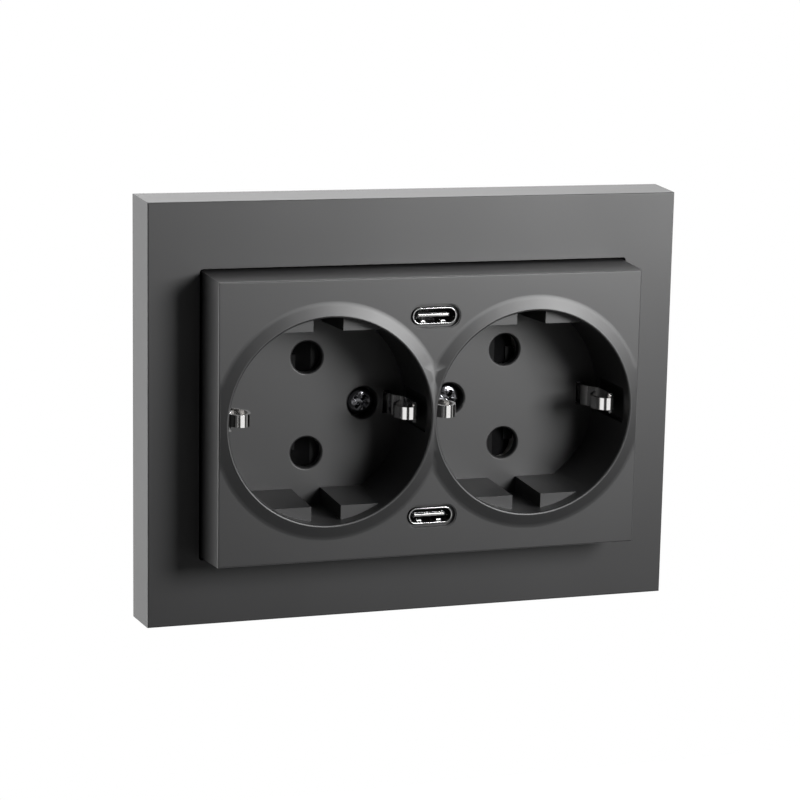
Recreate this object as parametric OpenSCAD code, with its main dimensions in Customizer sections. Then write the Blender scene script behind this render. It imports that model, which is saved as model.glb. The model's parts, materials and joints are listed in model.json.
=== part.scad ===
// Double earthed wall socket with two charging ports, in one surround frame.
// X runs to the right, Y into the wall and Z up. The wall is the plane y = 0 and the front faces -Y.
// The origin is the middle of the device, on the wall. All lengths are in millimetres.

/* [Surround frame] */
// Width of the frame's front
frame_w = 107.3; // [104:0.1:116]
// Height of the frame's front
frame_h = 82.3; // [80:0.1:92]
// How far the frame's front stands off the wall
frame_t = 10.55; // [9.5:0.05:12]
// Draft of the outer sides over the frame's whole depth
frame_draft = 0.47; // [0:0.01:1]
// Wall of the frame moulding
frame_wall = 2.2; // [1.6:0.1:2.6]
// Gap round the insert in the frame's opening
insert_gap = 0.46; // [0.35:0.01:0.7]
// Round on the moulded outer edges
edge_r = 0.3; // [0.1:0.05:0.5]

/* [Socket insert] */
// Width of the insert's front
insert_w = 85.05; // [84.8:0.05:88]
// Height of the insert's front
insert_h = 54.55; // [53.5:0.05:57]
// Draft of the insert's sides between its front and the frame's front
insert_draft = 0.56; // [0.2:0.01:0.7]
// Wall of the insert moulding
cover_wall = 1.9; // [1.5:0.1:2.2]
// Thickness of the insert's front
cover_t = 2; // [1.6:0.1:2.5]

/* [Socket wells] */
// Distance between the middles of the two wells
well_pitch = 41.14; // [41:0.02:41.6]
// Inner radius of a well
well_r = 20; // [19.7:0.05:20.1]
// Wall of a well
well_wall = 1.6; // [1.4:0.05:1.65]
// Depth of a well below the insert's front
well_depth = 16.5; // [15.5:0.1:18]
// Height of a well's floor above the wall
floor_h = 4.6; // [4.5:0.1:5.6]
// Thickness of a well's floor
floor_t = 2; // [1.8:0.1:2.2]
// Height of the raised rim round a well
rim_h = 0.72; // [0.3:0.02:1]
// Radius at which the raised rim runs out
rim_run_r = 22.75; // [22:0.05:23.5]
// Distance of the guide blocks' flat faces from the well's middle, at the floor
guide_z = 16.55; // [16:0.05:17]
// Draft of those flat faces
guide_draft = 0.45; // [0.1:0.05:0.6]
// Gap in the middle of each pair of guide blocks
guide_gap = 5.9; // [5:0.1:7]
// How far the guide blocks end below the insert's front
guide_drop = 2.4; // [1.5:0.1:4]

/* [Plug pins] */
// Distance between the two pin holes of a well
pin_pitch = 19; // [18.8:0.1:19.2]
// Radius of a pin hole
pin_hole_r = 3.15; // [2.9:0.05:3.2]
// Length of the plug pins that the contacts take up
pin_len = 19; // [18:0.5:20]

/* [Cover screws] */
// Distance of each cover screw from the device's middle
screw_x = 9.04; // [8.9:0.02:9.3]
// Radius of the recess for the screw head
screw_recess_r = 3.15; // [3.05:0.05:3.2]
// Radius of the screw head
screw_head_r = 2.85; // [2.6:0.05:2.9]
// Height of the screw head
screw_head_h = 1.9; // [1.6:0.1:2.1]
// Radius of the screw thread
screw_r = 1.5; // [1.4:0.05:1.6]

/* [Earth clips] */
// Thickness of the earth strip
earth_t = 0.6; // [0.5:0.05:0.7]
// Width of the strip behind the floor
earth_w = 6; // [5:0.1:6.2]
// Width of a clip's leg
leg_w = 4; // [3.4:0.1:4.4]
// Width of a clip's contact finger
finger_w = 2.4; // [2:0.1:3]
// Distance of a clip's foot from the well's middle
clip_foot = 16.5; // [16.3:0.05:16.7]
// Distance of a clip's leg from the well's middle, beside the wall
clip_back = 18.4; // [18:0.05:19]
// Distance of a finger's inmost point from the well's middle
clip_apex = 14.7; // [14.2:0.1:15]
// Height of a clip above the floor
clip_h = 14.4; // [12.5:0.1:14.6]
// Height of the window for a clip in the well's wall
window_h = 14.3; // [14.2:0.1:14.8]
// Width of that window
window_w = 7; // [6:0.1:8]

/* [Shutters] */
// Travel of a shutter towards the device's middle
shutter_travel = 6.3; // [6.1:0.1:6.4]
// Thickness of a shutter
shutter_t = 3.15; // [2.9:0.05:3.2]
// Margin of a shutter round its pin holes
shutter_margin = 0.15; // [0.1:0.05:0.2]
// Running clearance round a shutter
shutter_gap = 0.25; // [0.15:0.05:0.3]
// Radius of a return spring
spring_r = 1.3; // [1:0.05:1.35]
// Radius of the spring wire
spring_wire_r = 0.16; // [0.12:0.02:0.2]

/* [Charging ports] */
// Distance of each port's middle from the insert's nearer long edge
port_edge = 7.695; // [7.2:0.005:7.8]
// Width of a port's metal shell
shell_w = 8.94; // [8.9:0.01:9]
// Height of that shell
shell_h = 3.26; // [3.2:0.01:3.3]
// Sheet of that shell
shell_t = 0.3; // [0.2:0.05:0.35]
// How far the shell ends below the insert's front
shell_drop = 0.4; // [0.2:0.05:0.7]
// Space round the shell in the insert's front
port_margin = 0.52; // [0.4:0.02:0.6]
// Length of the shell
shell_len = 8.3; // [8:0.1:8.6]

/* [Support plate] */
// Gap between the support plate's short edges and the frame's wall
plate_side_gap = 11.45; // [10:0.05:12.5]
// Gap between the support plate's long edges and the frame's wall
plate_end_gap = 3.95; // [2.9:0.05:4.4]
// Thickness of the support plate
plate_t = 1.2; // [1:0.05:1.25]
// Distance between the two fixing slots
slot_pitch = 60; // [60:0.5:61]
// Width of a fixing slot
slot_w = 4.2; // [3.8:0.1:4.6]
// Length of a fixing slot
slot_len = 7.4; // [5:0.1:7.6]

/* [Rear housing] */
// Outer radius of the rear housing, which has to enter a round wall box
housing_r = 28.8; // [28.7:0.05:29.2]
// Half the height between the housing's two flats
housing_flat = 24.2; // [24:0.1:24.5]
// Wall of the rear housing
housing_wall = 1.8; // [1.6:0.1:1.9]
// Depth of the rear housing behind the wall's face
housing_depth = 31; // [30.6:0.1:36]

/* [Hidden] */
$fn = 96;

// Overrun of every cut
over = 1;
// Clearance between pieces that only lie against each other
fit_gap = 0.15;
// Clearance of a thread in its hole
thread_gap = 0.04;
// Angle between the points of a rounded edge
arc_step = 22.5;
// Points that a smooth line gets between two of its chosen points
smooth_steps = 4;

anthracite = "#45474a";
steel = "#b9bcc0";
nickel = "#c9cbce";
brass = "#c9a862";
board_green = "#2f5d46";
carrier_grey = "#d8d8d2";
black_plastic = "#232426";

// Heights along Y, from the front to the back
floor_y = -floor_h;
face_y = floor_y - well_depth;
rim_y = face_y - rim_h;
frame_y = -frame_t;
floor_back = floor_y + floor_t;
plate_y = -plate_t;

// Places across the front
well_x = well_pitch / 2;
pin_z = pin_pitch / 2;
port_z = insert_h / 2 - port_edge;

// Support plate
plate_w = frame_w - 2 * (frame_wall + plate_side_gap);
plate_h = frame_h - 2 * (frame_wall + plate_end_gap);
plate_corner_r = 4;
plate_lip_h = 2;

// Ledge in the frame's opening that carries the insert
ledge_drop = 4.55;
ledge_in = 1.2;
ledge_t = 1.4;
ledge_y = frame_y + ledge_drop;
opening_corner_r = 0.6;
open_w = insert_w + 2 * (insert_draft + insert_gap);
open_h = insert_h + 2 * (insert_draft + insert_gap);
frame_rib_t = 1.2;
frame_rib_h = 2.6;
long_rib_shares = [-0.42, -0.24, -0.08, 0.08, 0.24, 0.42];
short_rib_shares = [-0.24, 0, 0.24];
// Room for the head of a wall box screw
box_screw_r = 6.4;

// Layers behind the floor
shutter_y = floor_back + shutter_gap;
shutter_back = shutter_y + shutter_t;
strap_y = shutter_back;
strap_back = strap_y + earth_t;
rail_t = 1.2;
rail_back = strap_back + rail_t;
carrier_y = floor_back + fit_gap;
contact_t = 0.8;
contact_room = 0.4;
bar_y = floor_y + pin_len + contact_room;
bar_back = bar_y + contact_t;
carrier_back = bar_back + contact_room;
sheet_t = 0.6;
sheet_back = carrier_back + sheet_t;
board_t = 1.6;
board_room = 1.8;
board_y = sheet_back + board_room;
board_back = board_y + board_t;
housing_floor = housing_depth - housing_wall;

// Outline of the body that passes through the support plate
carrier_r = housing_r - housing_wall - fit_gap;
carrier_flat = housing_flat - housing_wall - fit_gap;
plate_open_gap = 0.3;
// Where the earth straps step forward onto the plate, inside the carrier's wall
carrier_skin = 0.8;
jog_out = carrier_r - carrier_skin;
jog_run = 1.9;
flange_step = 3.2;
flange_r = carrier_r + flange_step;
flange_flat = carrier_flat + 2;

// Shutter
ramp_edge = 1.4;
ramp_foot_t = 0.6;
shutter_half = pin_hole_r + shutter_margin;
blade_in = well_x - shutter_half - shutter_margin;
blade_out = well_x + shutter_half;
bridge_w = 1.9;
bridge_front = 1.15;
bridge_back = 0.6;
pocket_r = shutter_half + shutter_gap;
pocket_y = shutter_back + shutter_gap;
spring_room = 4.4;
pocket_in = blade_in - shutter_travel - spring_room;

// Contacts
leaf_w = 4;
leaf_t = 0.6;
leaf_start = 1.1;
leaf_room = 0.35;
bar_half = 3.2;
// Distance of a leaf from the pin's axis, and its place between the bar and its mouth
leaf_shares = [[0.9, 0], [0.86, 0.5], [0.73, 0.78], [0.98, 1]];
chamber_half = bar_half + leaf_room;

// Terminals
terminal_x = -17;
terminal_w = 7;
terminal_h = 7;
terminal_len = 8;
terminal_y = board_y;
terminal_tab_w = 5;
wire_r = 1.7;
wire_entry_r = 2;
terminal_screw_r = 1.6;
terminal_head_r = 2.4;
terminal_head_h = 1.6;
terminal_screw_len = 5;
driver_r = 2.9;
wire_shift = 1.4;

// Ports. A link runs straight back from its port, unless that is too far out for the carrier
link_edge = 2.6;
link_z = min(port_z, carrier_flat - link_edge);
port_board_w = 14.8;
port_board_low = 2.2;
port_board_high = 4.9;
port_board_t = 1.2;
shell_y = face_y + shell_drop;
port_board_y = shell_y + shell_len;
port_board_back = port_board_y + port_board_t;
holder_w = 11.8;
holder_low = 2;
holder_high = 2.6;
holder_foot = 1;
holder_gap = 0.1;
link_pin = 0.64;
link_pitch = 2.54;
link_count = 4;
link_strip_h = 2.4;
link_room = 0.4;
link_w = link_count * link_pitch;
tongue_w = 6.7;
tongue_t = 0.7;
tongue_drop = 0.8;
tongue_base = 2.4;
port_guide_wall = 0.9;
port_guide_gap = 0.12;
port_guide_drop = 0.9;
port_guide_len = 5;
port_bevel = 0.2;

// Power supply
board_left = -8.8;
board_rim = 1;
screw_post_x = 12;
screw_post_z = 18.4;
screw_post_r = 2.8;
post_web_t = 1.6;
housing_screw_r = 1.25;
housing_screw_head_r = 2.3;
housing_screw_head_h = 1.6;
housing_screw_grip = 9;
core_w = 14;
core_h = 13;
core_depth = 5.2;
core_limb = 2.4;
core_x = 15;
coil_t = 1.2;
capacitor_z = 9.6;
capacitor_x = 2.5;
mains_capacitor_r = 4;
output_capacitor_r = 3.15;
capacitor_len = 8.2;
capacitor_groove = 0.25;
choke_r = 3.4;
choke_x = 19.6;
choke_z = 10.4;
choke_len = 6;
choke_waist = 1.1;
fuse_r = 1.7;
fuse_len = 7;
fuse_cap_len = 1.4;
supply_pin_r = 0.5;
supply_pin_x = 7;

// A box between its lowest and highest corner
module slab(low, high) {
    translate(low) cube(high - low);
}

// A shape drawn in X and Z, from y0 to y1
module front_view(y0, y1) {
    translate([0, y1, 0]) rotate([90, 0, 0]) linear_extrude(y1 - y0) children();
}

// A shape drawn in X and Y, from z0 to z1
module top_view(z0, z1) {
    translate([0, 0, z0]) linear_extrude(z1 - z0) children();
}

// A shape drawn in Y and Z, from x0 to x1
module side_view(x0, x1) {
    translate([x0, 0, 0]) rotate([90, 0, 90]) linear_extrude(x1 - x0) children();
}

// A round bar along Y, of radius r, or r0 at its front and r1 at its back
module rod(x, z, y0, y1, r, r0 = undef, r1 = undef) {
    front_r = is_undef(r0) ? r : r0;
    back_r = is_undef(r1) ? r : r1;
    translate([x, y1, z]) rotate([90, 0, 0]) cylinder(h = y1 - y0, r1 = back_r, r2 = front_r);
}

// The children and their mirror image across the device's middle
module both_sides() {
    children();
    mirror([1, 0, 0]) children();
}

// The children and their mirror image across the horizontal middle
module above_and_below() {
    children();
    mirror([0, 0, 1]) children();
}

// A rectangle with round corners, drawn about the middle
module round_rect(w, h, r) {
    square([w - 2 * r, h], center = true);
    square([w, h - 2 * r], center = true);
    for (x = [-1, 1], z = [-1, 1]) translate([x * (w / 2 - r), z * (h / 2 - r)]) circle(r);
}

// An outline with half-round ends, as wide as w
module stadium(w, h) {
    square([w - h, h], center = true);
    for (x = [-1, 1]) translate([x * (w - h) / 2, 0]) circle(h / 2);
}

// A disc with a flat at its top and bottom
module flatted_disc(r, flat) {
    intersection() {
        circle(r);
        square([2 * r, 2 * flat], center = true);
    }
}

// Section of a drafted block: half as wide as half at its front, with rounded front edges
function drafted_section(half, y0, y1, grow) = concat(
    [[-half - grow, y1]],
    [for (a = [0:arc_step:90]) [-half + edge_r * (1 - cos(a)), y0 + edge_r * (1 - sin(a))]],
    [for (a = [90:-arc_step:0]) [half - edge_r * (1 - cos(a)), y0 + edge_r * (1 - sin(a))]],
    [[half + grow, y1]]
);

// A block of w by h at its front y0, which grows by grow on each side down to y1
module drafted_block(w, h, y0, y1, grow) {
    intersection() {
        top_view(-h, h) polygon(drafted_section(w / 2, y0, y1, grow));
        side_view(-w, w) polygon([for (p = drafted_section(h / 2, y0, y1, grow)) [p[1], p[0]]]);
    }
}

// A smooth line through chosen points
function along(a, b, c, d, s) = 0.5 * (
    2 * b + (c - a) * s + (2 * a - 5 * b + 4 * c - d) * s * s + (3 * b - a - 3 * c + d) * s * s * s
);
function smooth(p) = let (last = len(p) - 1) concat(
    [for (i = [0:last - 1], k = [0:smooth_steps - 1])
        along(p[max(i - 1, 0)], p[i], p[i + 1], p[min(i + 2, last)], k / smooth_steps)],
    [p[last]]
);

// The outline of a strip of thickness t that follows a line
function unit(v) = v / norm(v);
function strip_side(p, i) = let (
    last = len(p) - 1,
    before = unit(p[max(i, 1)] - p[max(i, 1) - 1]),
    after = unit(p[min(i, last - 1) + 1] - p[min(i, last - 1)]),
    middle = unit(before + after)
) [-middle[1], middle[0]] / (middle * before);
function strip(p, t) = concat(
    [for (i = [0:len(p) - 1]) p[i] + strip_side(p, i) * t / 2],
    [for (i = [len(p) - 1:-1:0]) p[i] - strip_side(p, i) * t / 2]
);

// The frame: a drafted hollow moulding whose opening has a ledge for the insert
module cover_frame() color(anthracite) {
    rib_y = frame_y + frame_wall;
    tube_w = open_w + 2 * frame_wall;
    tube_h = open_h + 2 * frame_wall;
    inner_w = frame_w - 2 * frame_wall;
    inner_h = frame_h - 2 * frame_wall;
    tube_back = plate_y - plate_lip_h - fit_gap;
    difference() {
        union() {
            difference() {
                drafted_block(frame_w, frame_h, frame_y, 0, frame_draft);
                front_view(rib_y, over) square([inner_w, inner_h], center = true);
            }
            front_view(rib_y - edge_r, tube_back) square([tube_w, tube_h], center = true);
            for (s = long_rib_shares) {
                above_and_below() slab(
                    [s * frame_w - frame_rib_t / 2, rib_y - edge_r, tube_h / 2 - edge_r],
                    [s * frame_w + frame_rib_t / 2, rib_y + frame_rib_h, inner_h / 2 + edge_r]
                );
            }
            for (s = short_rib_shares) {
                both_sides() slab(
                    [tube_w / 2 - edge_r, rib_y - edge_r, s * frame_h - frame_rib_t / 2],
                    [inner_w / 2 + edge_r, rib_y + frame_rib_h, s * frame_h + frame_rib_t / 2]
                );
            }
        }
        front_view(frame_y - over, ledge_y) round_rect(open_w, open_h, opening_corner_r);
        front_view(ledge_y - over, ledge_y + ledge_t + over)
            square([open_w - 2 * ledge_in, open_h - 2 * ledge_in], center = true);
        front_view(ledge_y + ledge_t, over) square([open_w, open_h], center = true);
        both_sides() rod(well_x, 0, frame_y - over, over, well_r + well_wall + fit_gap);
        above_and_below() rod(0, slot_pitch / 2, ledge_y + ledge_t, over, box_screw_r);
    }
}

// Draft of the insert's side at a height y
function insert_grow(y) = insert_draft * (y - face_y) / (frame_y - face_y);

// Raised rim round a well, a soft slope that runs out on the insert's front
mouth_bevel = 0.3;
module well_rim() {
    intersection() {
        union() {
            rod(well_x, 0, rim_y, face_y, 0, well_r + mouth_bevel, rim_run_r);
            rod(well_x, 0, face_y, face_y + cover_t / 2, rim_run_r);
        }
        slab(
            [-insert_w, rim_y - over, -insert_h / 2 + edge_r],
            [insert_w / 2 - edge_r, 0, insert_h / 2 - edge_r]
        );
    }
}

// Guide blocks: the parts of the well beyond two drafted flats, each split by a gap
module guide_blocks() {
    guide_y = face_y + guide_drop;
    block_r = well_r + well_wall / 2;
    difference() {
        intersection() {
            rod(well_x, 0, guide_y, floor_y, block_r);
            above_and_below() side_view(0, insert_w) polygon([
                [guide_y, guide_z + guide_draft],
                [floor_y, guide_z],
                [floor_y, block_r],
                [guide_y, block_r]
            ]);
        }
        slab(
            [well_x - guide_gap / 2, guide_y - over, -block_r],
            [well_x + guide_gap / 2, floor_y + over, block_r]
        );
    }
}

// Windows in a well's wall that leave room for the earth clips
window_in = 2;
window_skin = 0.7;
module clip_windows() {
    window_r = well_r + well_wall - window_skin;
    slab(
        [well_x + well_r - window_in, floor_y - window_h, -window_w / 2],
        [well_x + window_r, floor_y, window_w / 2]
    );
    slab([-over, floor_y - window_h, -window_w / 2], [well_x - well_r + window_in, floor_y, window_w / 2]);
}

// Seat of a well's floor in the back of its wall, with a small lip that it snaps behind
floor_seat = 0.3;
snap_lip = 0.2;
snap_t = 0.5;
floor_gap = 0.05;
snap_y = floor_back - snap_t;
module floor_seat_cut() {
    rod(well_x, 0, floor_y, snap_y, well_r + floor_seat);
    rod(well_x, 0, snap_y, floor_back + over, well_r + floor_seat - snap_lip);
}

// Floor of a well: it covers the shutters and takes the pins, the clips and the cover screw
pin_hole_bevel = 0.25;
slot_room = 0.5;
boss_wall = 1;
screw_seat_drop = 1.8;
seat_y = strap_y - screw_seat_drop;
module well_floor() color(anthracite) difference() {
    union() {
        rod(well_x, 0, floor_y, snap_y - floor_gap, well_r + floor_seat - floor_gap);
        rod(well_x, 0, floor_y, floor_back, well_r + floor_seat - snap_lip - floor_gap);
        rod(screw_x, 0, floor_y + floor_t / 2, strap_y, screw_recess_r + boss_wall);
    }
    floor_holes();
}
module floor_holes() {
    slot_half = earth_t / 2 + slot_room;
    leg_half = leg_w / 2 + slot_room / 2;
    above_and_below() {
        rod(well_x, pin_z, floor_y - over, floor_back + over, pin_hole_r);
        rod(well_x, pin_z, floor_y, floor_y + pin_hole_bevel, 0, pin_hole_r + pin_hole_bevel, pin_hole_r);
    }
    rod(screw_x, 0, floor_y - over, seat_y, screw_recess_r);
    rod(screw_x, 0, floor_y, floor_y + pin_hole_bevel, 0, screw_recess_r + pin_hole_bevel, screw_recess_r);
    rod(screw_x, 0, floor_y, strap_y + over, screw_r + fit_gap);
    for (side = [-1, 1]) {
        foot = well_x + side * clip_foot;
        slab(
            [foot - slot_half, floor_y - over, -leg_half],
            [foot + slot_half, floor_back + over, leg_half]
        );
    }
}

// Hole for a port: bevelled at the front, with a shelf and a close guide round the shell
module port_hole() {
    w = shell_w + 2 * port_margin;
    h = shell_h + 2 * port_margin;
    translate([0, 0, port_z]) {
        front_view(face_y - over, face_y + port_guide_drop) stadium(w, h);
        front_view(face_y - over, face_y + port_bevel) stadium(w + 2 * port_bevel, h + 2 * port_bevel);
        front_view(face_y, port_board_y)
            stadium(shell_w + 2 * port_guide_gap, shell_h + 2 * port_guide_gap);
    }
}

// The insert: front, the walls of both wells and their guide blocks in one moulding
cover_rib_t = 1.2;
cover_rib_depth = 9;
cover_rib_back = face_y + cover_t + cover_rib_depth;
module socket_cover() color(anthracite) {
    inner_w = insert_w - 2 * cover_wall;
    inner_h = insert_h - 2 * cover_wall;
    difference() {
        union() {
            difference() {
                union() {
                    difference() {
                        drafted_block(insert_w, insert_h, face_y, ledge_y, insert_grow(ledge_y));
                        front_view(face_y + cover_t, over) square([inner_w, inner_h], center = true);
                    }
                    both_sides() well_rim();
                    both_sides() rod(well_x, 0, face_y + cover_t / 2, floor_back, well_r + well_wall);
                    both_sides() above_and_below() slab(
                        [well_x - cover_rib_t / 2, face_y + cover_t / 2, well_r + well_wall / 2],
                        [well_x + cover_rib_t / 2, cover_rib_back, insert_h / 2 - cover_wall / 2]
                    );
                    above_and_below() translate([0, 0, port_z])
                        front_view(face_y + cover_t / 2, face_y + port_guide_len)
                        stadium(shell_w + 2 * port_guide_wall, shell_h + 2 * port_guide_wall);
                }
                both_sides() {
                    rod(well_x, 0, rim_y - over, floor_y, well_r);
                    rod(
                        well_x, 0, rim_y - over, rim_y + mouth_bevel,
                        0, well_r + mouth_bevel + over, well_r
                    );
                }
            }
            both_sides() guide_blocks();
        }
        both_sides() floor_seat_cut();
        both_sides() clip_windows();
        above_and_below() port_hole();
    }
}

// A cover screw with a domed head and a cross recess
recess_w = 0.9;
recess_len = 3.4;
recess_depth = 1.2;
head_rim_share = 0.45;
head_flat_share = 0.35;
screw_tip = 0.5;
screw_grip = 2.4;
module cover_screw() color(steel) {
    head_y = seat_y - screw_head_h;
    tip_y = rail_back + screw_grip;
    difference() {
        union() {
            translate([screw_x, 0, 0]) rotate([90, 0, 0]) rotate_extrude() polygon(concat(
                [[0, -seat_y], [screw_head_r, -seat_y]],
                [for (a = [0:arc_step:90]) [
                    screw_head_r * (head_flat_share + (1 - head_flat_share) * cos(a)),
                    -seat_y + screw_head_h * (head_rim_share + (1 - head_rim_share) * sin(a))
                ]],
                [[0, -head_y]]
            ));
            rod(screw_x, 0, seat_y, tip_y - screw_tip, screw_r);
            rod(screw_x, 0, tip_y - screw_tip, tip_y, 0, screw_r, screw_r - screw_tip);
        }
        for (turn = [45, 135]) {
            translate([screw_x, 0, 0]) rotate([0, turn, 0]) slab(
                [-recess_len / 2, head_y - over, -recess_w / 2],
                [recess_len / 2, head_y + recess_depth, recess_w / 2]
            );
        }
    }
}

// How far a clip's finger sits above the middle of its leg
finger_z = 0.4;
// Clip points: distance from the foot towards the wall, and height above the floor, as shares
leg_shares = [[0, 0], [0, 0.1], [0.2, 0.2], [0.9, 0.34], [1.12, 0.46], [1.1, 0.62], [1, 0.8]];
// Distance from the inmost point towards the wall, and height above the floor, as shares
finger_shares = [
    [1, 0.8], [0.99, 0.88], [0.92, 0.94], [0.79, 0.98], [0.6, 1], [0.4, 0.99], [0.2, 0.95],
    [0.06, 0.88], [0, 0.79], [0.05, 0.7], [0.3, 0.58], [0.62, 0.49]
];

// Side view of a clip, as distance from the well's middle and Y
function clip_leg(base_y) = concat(
    [[clip_foot, base_y]],
    [for (p = leg_shares) [clip_foot + (clip_back - clip_foot) * p[0], floor_y - clip_h * p[1]]]
);
function clip_finger() = [
    for (p = finger_shares)
        [clip_apex + (clip_back - clip_apex) * p[0], floor_y - (clip_h - earth_t / 2) * p[1]]
];

// One clip on the side of the well away from the device's middle
module clip(base_y) {
    top_view(-leg_w / 2, leg_w / 2) polygon(strip(smooth(clip_leg(base_y)), earth_t));
    top_view(finger_z - finger_w / 2, finger_z + finger_w / 2)
        polygon(strip(smooth(clip_finger()), earth_t));
}

// Earth strap of a well: a strip behind the floor, with a clip at each end
module earth_strap() color(nickel) {
    mid_y = strap_y + earth_t / 2;
    out_y = plate_y - earth_t / 2;
    inner_foot = well_x - clip_foot;
    outer_foot = well_x + clip_foot;
    difference() {
        top_view(-earth_w / 2, earth_w / 2) polygon(strip([
            [inner_foot - earth_t / 2, mid_y],
            [jog_out - jog_run, mid_y],
            [jog_out, out_y],
            [outer_foot + earth_t / 2, out_y]
        ], earth_t));
        rod(screw_x, 0, strap_y - over, strap_back + over, screw_r + fit_gap);
    }
    translate([well_x, 0, 0]) {
        clip(out_y);
        mirror([1, 0, 0]) clip(mid_y);
    }
}

// Earth rail behind both straps, threaded for the cover screws, with a leg to the earth terminal
rail_half = 2.8;
rail_reach = 3.6;
module earth_rail() color(brass) {
    tab_in = terminal_x + terminal_tab_w / 2;
    tab_out = terminal_x - terminal_tab_w / 2;
    difference() {
        slab([tab_out, strap_back, -rail_half], [screw_x + rail_reach, rail_back, rail_half]);
        both_sides() rod(screw_x, 0, strap_back - over, rail_back + over, screw_r + thread_gap);
    }
    slab([tab_out, rail_back - contact_t, -contact_t / 2], [tab_in, terminal_y, contact_t / 2]);
}

// Outline of a shutter blade in front view, round at its outer end
module blade_outline(r, inner) {
    translate([well_x, pin_z]) circle(r);
    translate([inner, pin_z - r]) square([well_x - inner, 2 * r]);
}

// Shutter of a well: a ramped blade behind each pin hole, joined by a bridge
module shutter() color(carrier_grey) {
    above_and_below() intersection() {
        front_view(shutter_y, shutter_back) blade_outline(shutter_half, blade_in);
        top_view(0, 2 * pin_pitch) polygon([
            [blade_in, shutter_y],
            [well_x - ramp_edge, shutter_y],
            [blade_out, shutter_back - ramp_foot_t],
            [blade_out, shutter_back],
            [blade_in, shutter_back]
        ]);
    }
    slab(
        [blade_out - bridge_w, shutter_y + bridge_front, -pin_z],
        [blade_out, shutter_back - bridge_back, pin_z]
    );
}

// Return spring: a helix of round wire with closed ends, along X
spring_turns = 6;
spring_ring_points = 10;
spring_sides = 6;
function spring_ring(k) = let (
    rings = spring_turns * spring_ring_points,
    free = blade_in - pocket_in - 2 * fit_gap - 2 * spring_wire_r,
    x = pocket_in + fit_gap + spring_wire_r + free * k / rings,
    a = 360 * k / spring_ring_points
) [
    for (s = [0:spring_sides - 1])
        let (b = 360 * s / spring_sides, r = spring_r - spring_wire_r * (1 - cos(b)))
        [x + spring_wire_r * sin(b), shutter_y + shutter_t / 2 + r * sin(a), pin_z + r * cos(a)]
];
module shutter_spring() color(steel) {
    rings = spring_turns * spring_ring_points;
    polyhedron(
        points = [for (k = [0:rings]) each spring_ring(k)],
        faces = concat(
            [[for (s = [0:spring_sides - 1]) s]],
            [[for (s = [spring_sides - 1:-1:0]) rings * spring_sides + s]],
            [for (k = [0:rings - 1], s = [0:spring_sides - 1])
                let (n = (s + 1) % spring_sides, b = k * spring_sides)
                [b + s, b + spring_sides + s, b + spring_sides + n, b + n]]
        )
    );
}

module lower_spring() {
    mirror([0, 0, 1]) shutter_spring();
}

// Steel plate that is screwed to the wall box and carries the device
module support_plate() color(steel) {
    difference() {
        union() {
            front_view(plate_y, 0) round_rect(plate_w, plate_h, plate_corner_r);
            above_and_below() slab(
                [-plate_w / 2 + plate_corner_r, plate_y - plate_lip_h, plate_h / 2 - plate_t],
                [plate_w / 2 - plate_corner_r, 0, plate_h / 2]
            );
        }
        front_view(plate_y - over, over)
            flatted_disc(carrier_r + plate_open_gap, carrier_flat + plate_open_gap);
        above_and_below() translate([0, 0, slot_pitch / 2]) front_view(plate_y - over, over)
            rotate(90) stadium(slot_len, slot_w);
    }
}

// Places of the four screws that hold the rear housing
module at_posts() {
    both_sides() above_and_below() translate([screw_post_x, 0, screw_post_z]) children();
}

// Space that the wells take up in front of the carrier
module room_beside_wells(back) {
    both_sides() rod(well_x, 0, face_y, back, well_r + well_wall + fit_gap);
}

// Holder of a port board, which stands on the carrier between the wells
module port_holder() color(carrier_grey) difference() {
    slab(
        [-holder_w / 2, port_board_back, link_z - holder_low],
        [holder_w / 2, carrier_y + holder_foot, link_z + holder_high]
    );
    room_beside_wells(carrier_y);
    link_slot(port_board_back, carrier_y + holder_foot);
}

// Slot for the pins of a port's link
module link_slot(y0, y1) {
    translate([0, 0, link_z]) slab(
        [-link_w / 2, y0 - over, -link_pin / 2 - link_room],
        [link_w / 2, y1 + over, link_pin / 2 + link_room]
    );
}

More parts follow.
